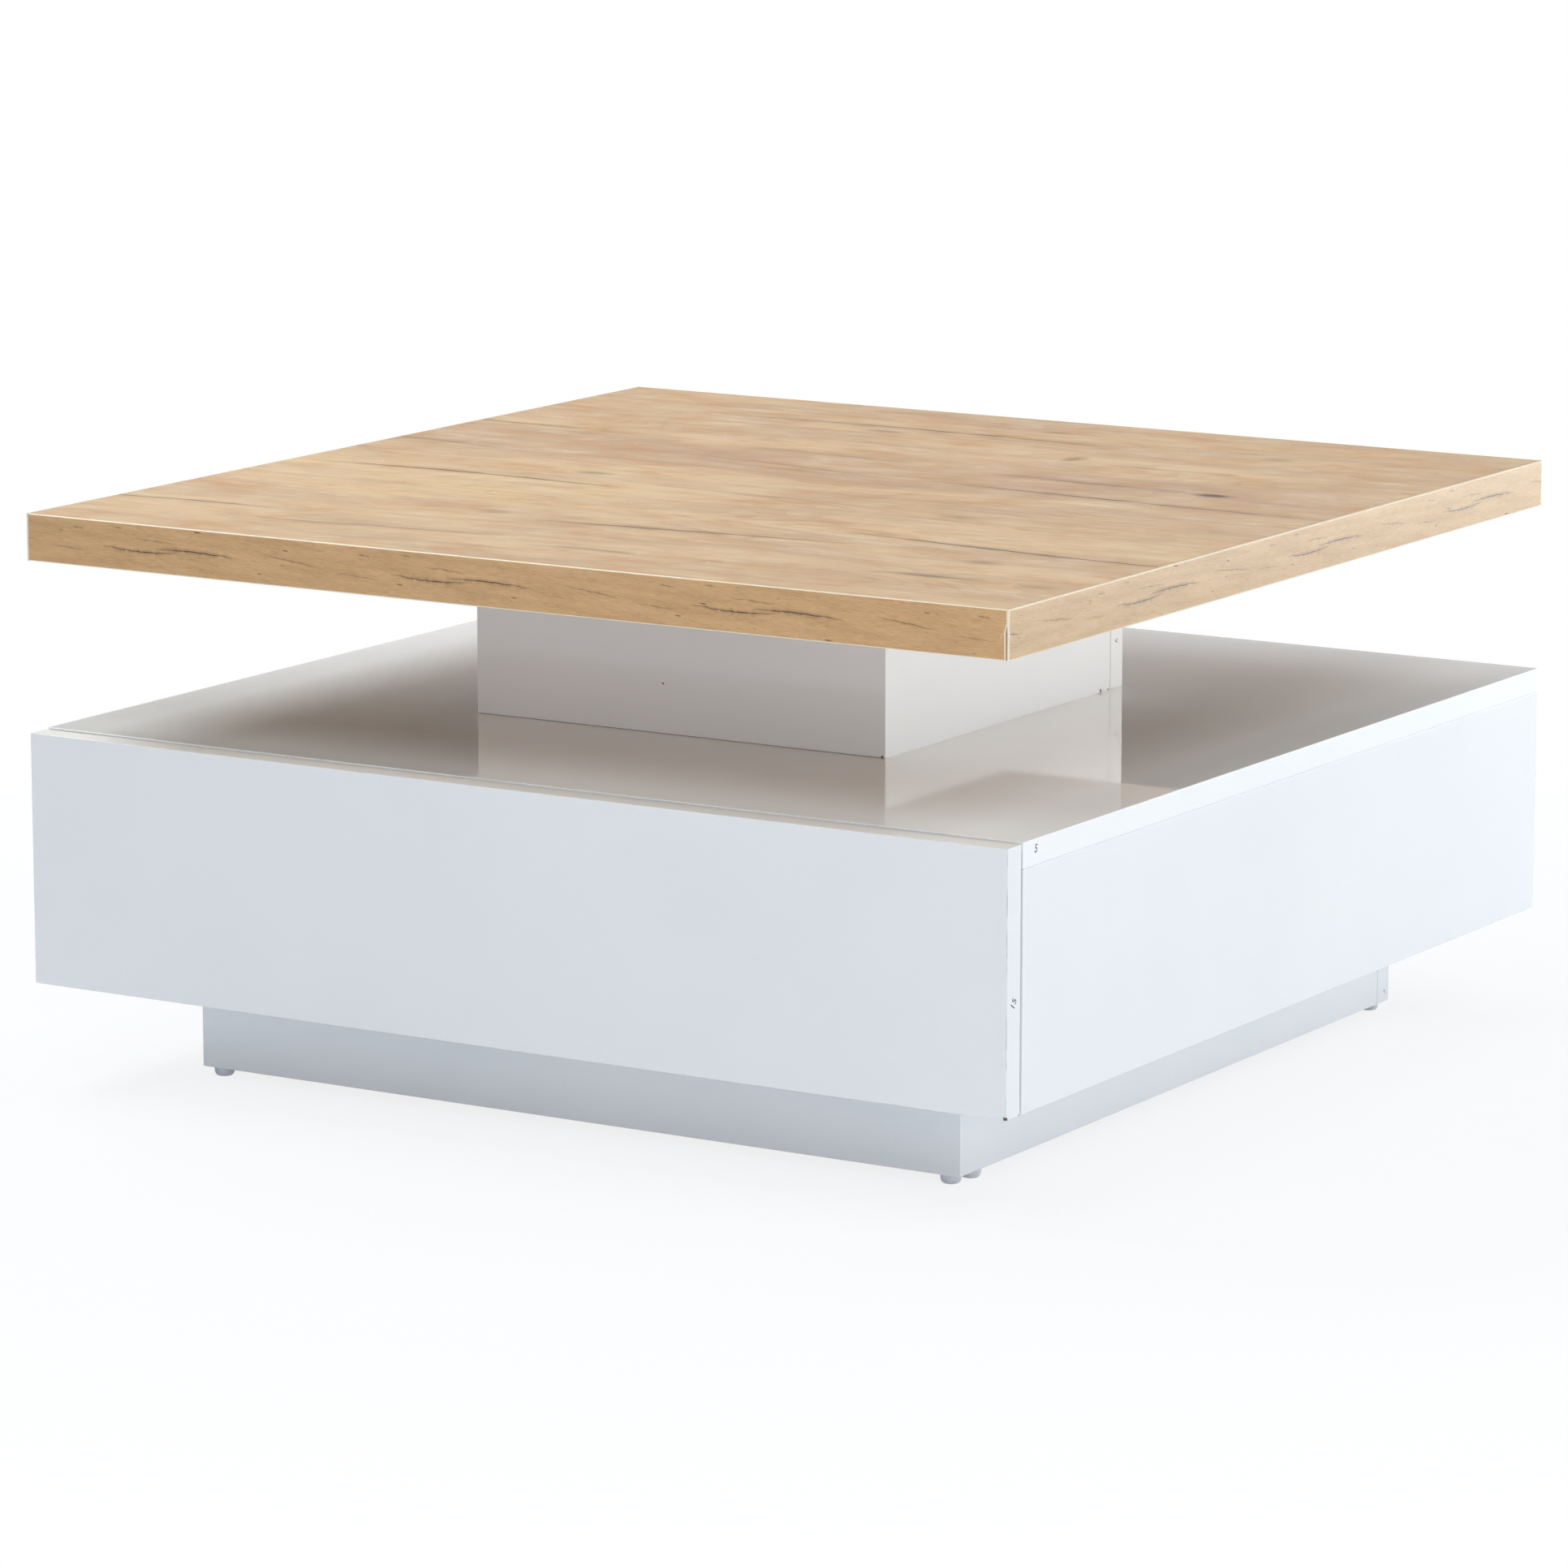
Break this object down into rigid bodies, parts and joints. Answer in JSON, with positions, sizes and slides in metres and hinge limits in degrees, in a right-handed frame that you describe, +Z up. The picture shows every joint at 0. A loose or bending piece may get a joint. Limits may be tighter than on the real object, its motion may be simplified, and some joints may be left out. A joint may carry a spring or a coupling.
{
  "type": "swivel coffee table",
  "caption": "Square coffee table with a thick oak-decor top turning on a ball-bearing plate, a short column, a gloss body with a full-width drawer and an inset plinth.",
  "frame": {"origin": "on the floor, under the middle of the table's outline", "axes": "+X to the right, +Y to the back, +Z up; the drawer opens towards -Y"},
  "size_m": [0.8, 0.8, 0.413],
  "materials": {
    "oak_decor": "printed oak decor, satin melamine",
    "oak_edge": "printed oak edge band, satin",
    "white_gloss": "white high-gloss lacquer on board",
    "white_melamine": "white satin melamine on board",
    "hardboard": "white painted hardboard",
    "raw_board": "bare particle board",
    "beech": "bare beech",
    "zinc_sheet": "zinc-plated pressed steel",
    "ball_steel": "polished steel",
    "nylon": "natural nylon",
    "rail_enamel": "white epoxy powder coat",
    "bright_zinc": "bright zinc plate",
    "glide_plastic": "grey moulded polyethylene",
    "soft_buffer": "soft clear polyurethane"
  },
  "bodies": {
    "base": {"body_back": "white_gloss", "body_bottom": "white_melamine", "body_cam_bolts": "bright_zinc", "body_cam_locks": "bright_zinc", "body_dowels": "beech", "body_left": "white_gloss", "body_partition": "white_melamine", "body_right": "white_gloss", "body_top": "white_gloss", "cabinet_rail_left": "rail_enamel", "cabinet_rail_right": "rail_enamel", "cabinet_rail_screws": "bright_zinc", "column_back": "white_gloss", "column_front": "white_gloss", "column_left": "white_gloss", "column_lid": "raw_board", "column_posts": "raw_board", "column_right": "white_gloss", "column_screws": "bright_zinc", "plinth_back": "white_gloss", "plinth_blocks": "raw_board", "plinth_front": "white_gloss", "plinth_glides": "glide_plastic", "plinth_left": "white_gloss", "plinth_right": "white_gloss", "plinth_screws": "bright_zinc", "glide_nails": "bright_zinc", "cabinet_rivets": "bright_zinc", "turntable_lower_plate": "zinc_sheet", "turntable_ring": "zinc_sheet", "turntable_lower_screws": "bright_zinc"},
    "swivel_top": {"top_board": "oak_decor", "top_band_front": "oak_edge", "top_band_back": "oak_edge", "top_band_left": "oak_edge", "top_band_right": "oak_edge", "turntable_upper_plate": "zinc_sheet", "turntable_upper_screws": "bright_zinc"},
    "ball_ring": {"turntable_cage": "nylon", "turntable_balls": "ball_steel"},
    "drawer": {"drawer_back": "white_melamine", "drawer_bottom": "hardboard", "drawer_buffers": "soft_buffer", "drawer_cam_bolts": "bright_zinc", "drawer_cam_locks": "bright_zinc", "drawer_dowels": "beech", "drawer_front": "white_gloss", "drawer_left": "white_melamine", "drawer_rail_left": "rail_enamel", "drawer_rail_right": "rail_enamel", "drawer_rail_screws": "bright_zinc", "drawer_right": "white_melamine", "drawer_rivets": "bright_zinc"},
    "front_roller_left": {"cabinet_roller_left": "nylon"},
    "front_roller_right": {"cabinet_roller_right": "nylon"},
    "rear_roller_left": {"drawer_roller_left": "nylon"},
    "rear_roller_right": {"drawer_roller_right": "nylon"}
  },
  "joints": [
    {"name": "top_swivel", "type": "hinge", "parent": "base", "child": "swivel_top", "pos_m": [0, 0, 0.375], "axis": [0, 0, 1], "continuous": true},
    {"name": "ball_ring_turn", "type": "hinge", "parent": "base", "child": "ball_ring", "pos_m": [0, 0, 0.375], "axis": [0, 0, 1], "continuous": true},
    {"name": "drawer_slide", "type": "slide", "parent": "base", "child": "drawer", "axis": [0, -1, 0], "range_m": [0, 0.3]},
    {"name": "front_roller_left_turn", "type": "hinge", "parent": "base", "child": "front_roller_left", "pos_m": [-0.3763, -0.3655, 0.1213], "axis": [1, 0, 0], "range_deg": [0, 1909.9]},
    {"name": "front_roller_right_turn", "type": "hinge", "parent": "base", "child": "front_roller_right", "pos_m": [0.3763, -0.3655, 0.1213], "axis": [1, 0, 0], "range_deg": [0, 1909.9]},
    {"name": "rear_roller_left_turn", "type": "hinge", "parent": "drawer", "child": "rear_roller_left", "pos_m": [-0.3752, 0.006, 0.1145], "axis": [1, 0, 0], "range_deg": [0, 1909.9]},
    {"name": "rear_roller_right_turn", "type": "hinge", "parent": "drawer", "child": "rear_roller_right", "pos_m": [0.3752, 0.006, 0.1145], "axis": [1, 0, 0], "range_deg": [0, 1909.9]}
  ],
  "couplings": [
    {"joint": "ball_ring_turn", "follows": "top_swivel", "ratio": 0.5},
    {"joint": "front_roller_left_turn", "follows": "drawer_slide", "rad_per_m": 111.11},
    {"joint": "front_roller_right_turn", "follows": "drawer_slide", "rad_per_m": 111.11},
    {"joint": "rear_roller_left_turn", "follows": "drawer_slide", "rad_per_m": 111.11},
    {"joint": "rear_roller_right_turn", "follows": "drawer_slide", "rad_per_m": 111.11}
  ]
}
